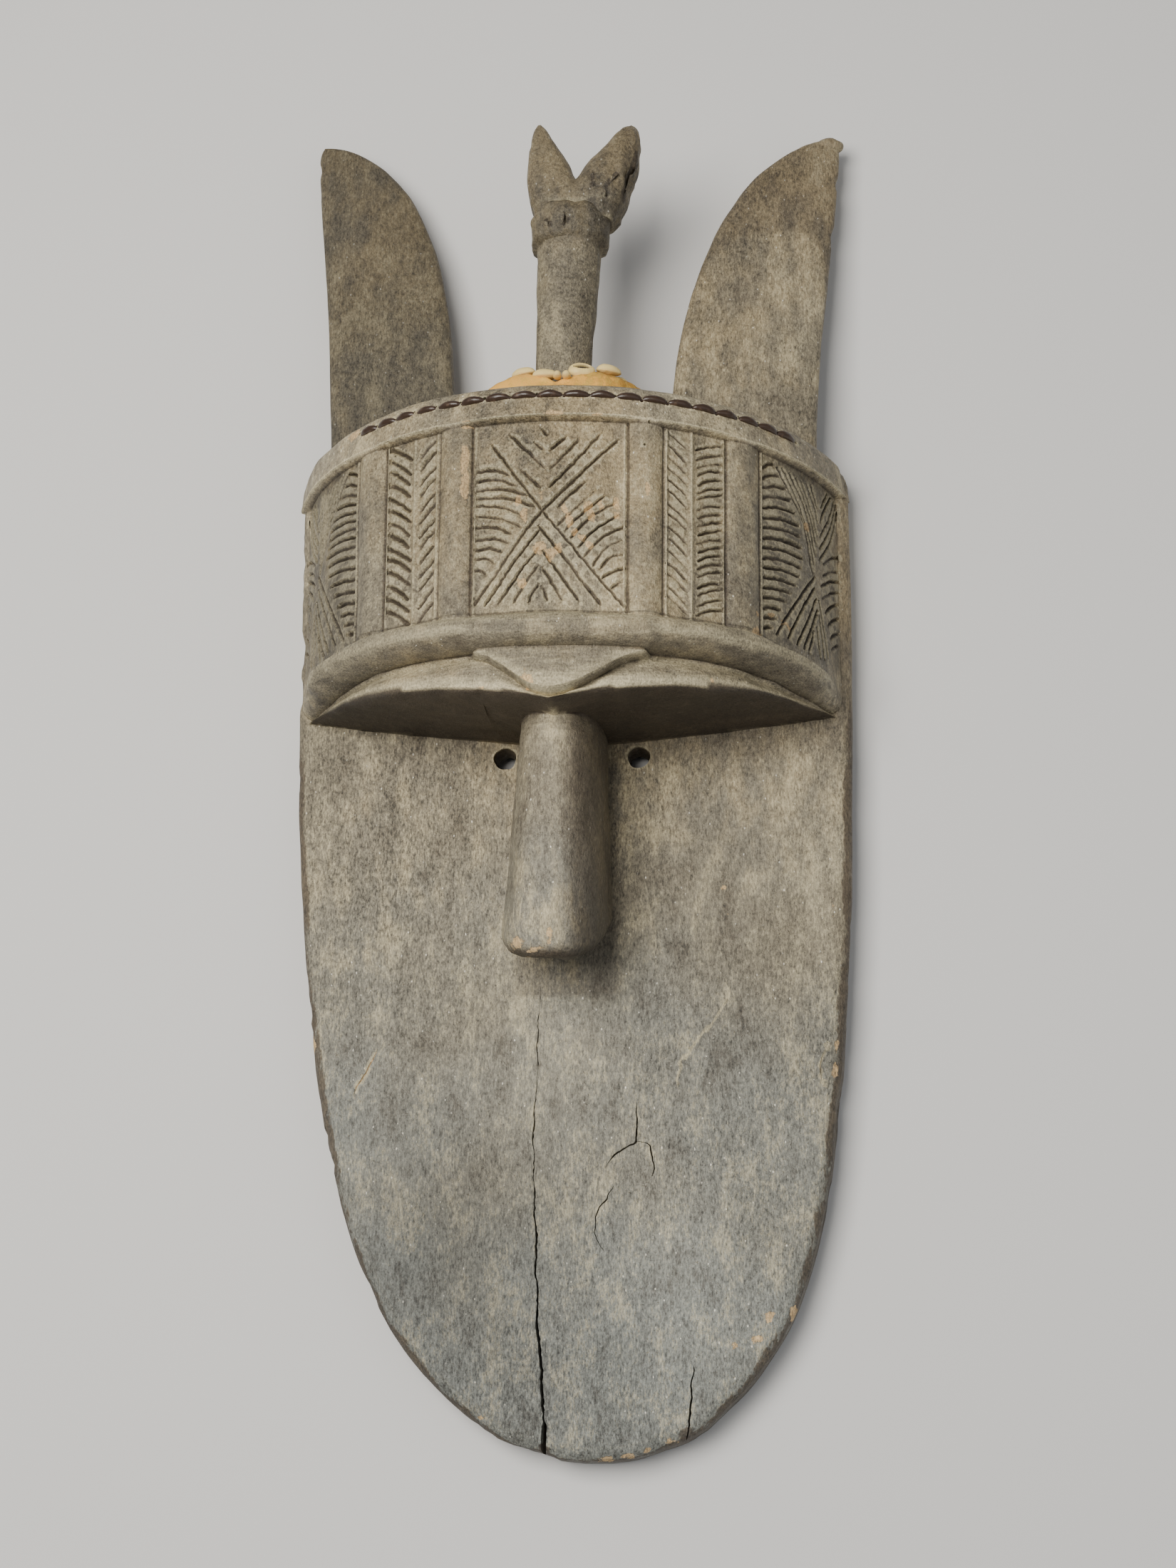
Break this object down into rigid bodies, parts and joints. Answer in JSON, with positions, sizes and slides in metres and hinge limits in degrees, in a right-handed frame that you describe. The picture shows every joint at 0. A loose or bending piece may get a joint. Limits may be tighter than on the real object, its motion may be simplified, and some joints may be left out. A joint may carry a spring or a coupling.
{
  "type": "carved wooden face mask",
  "caption": "Tall carved wooden mask with a half-round forehead, flat horns, a forked crest post, a long plain face board and cowrie shells on a leather pad.",
  "frame": {"origin": "middle of the bounding box on the plane the mask lies on", "axes": "+X to the right of the face as seen from the front, +Y from the chin to the horns, +Z from the back to the front"},
  "size_m": [0.3976, 0.954, 0.1804],
  "materials": {
    "wood": "matt dusty paint over carved wood",
    "thong": "worn satin",
    "leather": "soft matt",
    "shell": "satin"
  },
  "bodies": {
    "root": {"mask_body": "wood", "rim_lacing": "thong", "leather_pad": "leather", "cowrie_01": "shell", "cowrie_02": "shell", "cowrie_03": "shell", "cowrie_04": "shell", "cowrie_05": "shell", "cowrie_06": "shell", "cowrie_07": "shell", "cowrie_08": "shell", "cowrie_09": "shell", "cowrie_10": "shell", "cowrie_small_1": "shell", "cowrie_small_2": "shell"}
  },
  "joints": []
}
